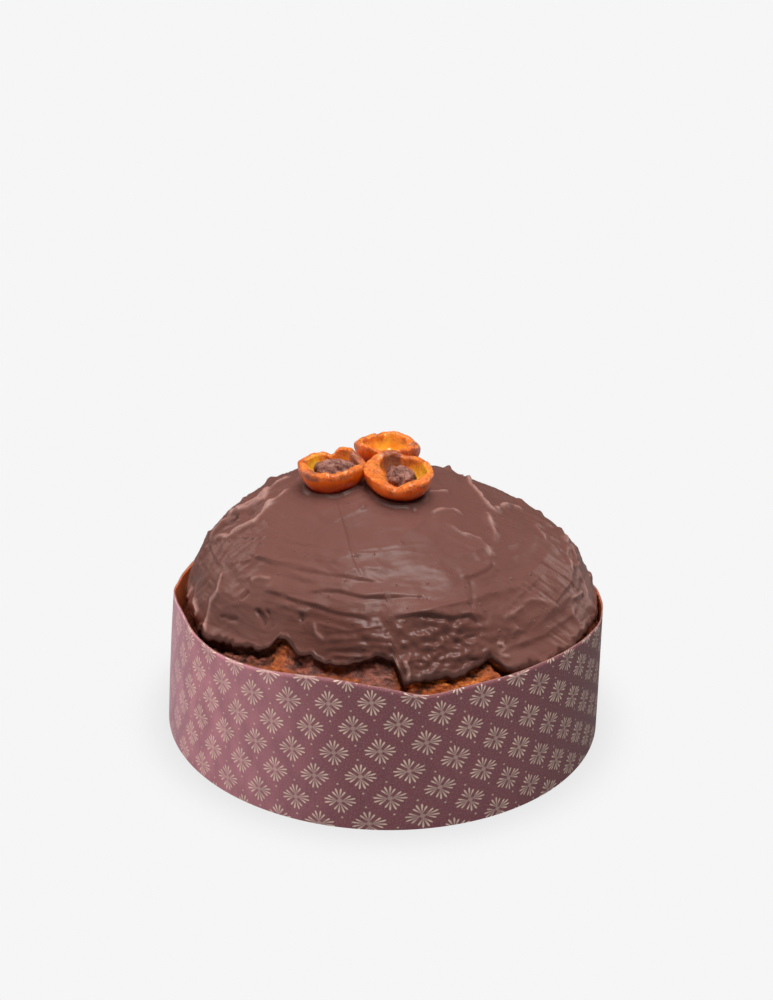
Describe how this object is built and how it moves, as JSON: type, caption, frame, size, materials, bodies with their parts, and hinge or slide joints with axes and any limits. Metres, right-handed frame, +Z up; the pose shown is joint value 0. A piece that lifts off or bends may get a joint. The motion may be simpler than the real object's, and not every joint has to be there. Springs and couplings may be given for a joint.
{
  "type": "panettone",
  "caption": "Low dome-topped panettone in a printed paper baking case, coated with chocolate and topped with candied apricot halves that hold dabs of chocolate.",
  "frame": {"origin": "centre of the paper case's underside, on the surface it stands on", "axes": "+Z up, -Y the front that the picture shows, +X to the right of that front"},
  "size_m": [0.216, 0.216, 0.1392],
  "materials": {
    "printed_paper": "mauve baking paper with a pale floret print outside, toasted brown inside",
    "crust": "browned, craggy sweet-dough crust",
    "chocolate": "satin milk-chocolate coat with spatula folds",
    "apricot": "glossy candied apricot, orange and slightly translucent",
    "chocolate_dab": "dull chocolate"
  },
  "bodies": {
    "root": {"paper_case": "printed_paper", "cake": "crust", "chocolate_coat": "chocolate", "apricot_left": "apricot", "apricot_right": "apricot", "apricot_back": "apricot", "dab_left": "chocolate_dab", "dab_right": "chocolate_dab", "dab_back": "chocolate_dab"}
  },
  "joints": []
}
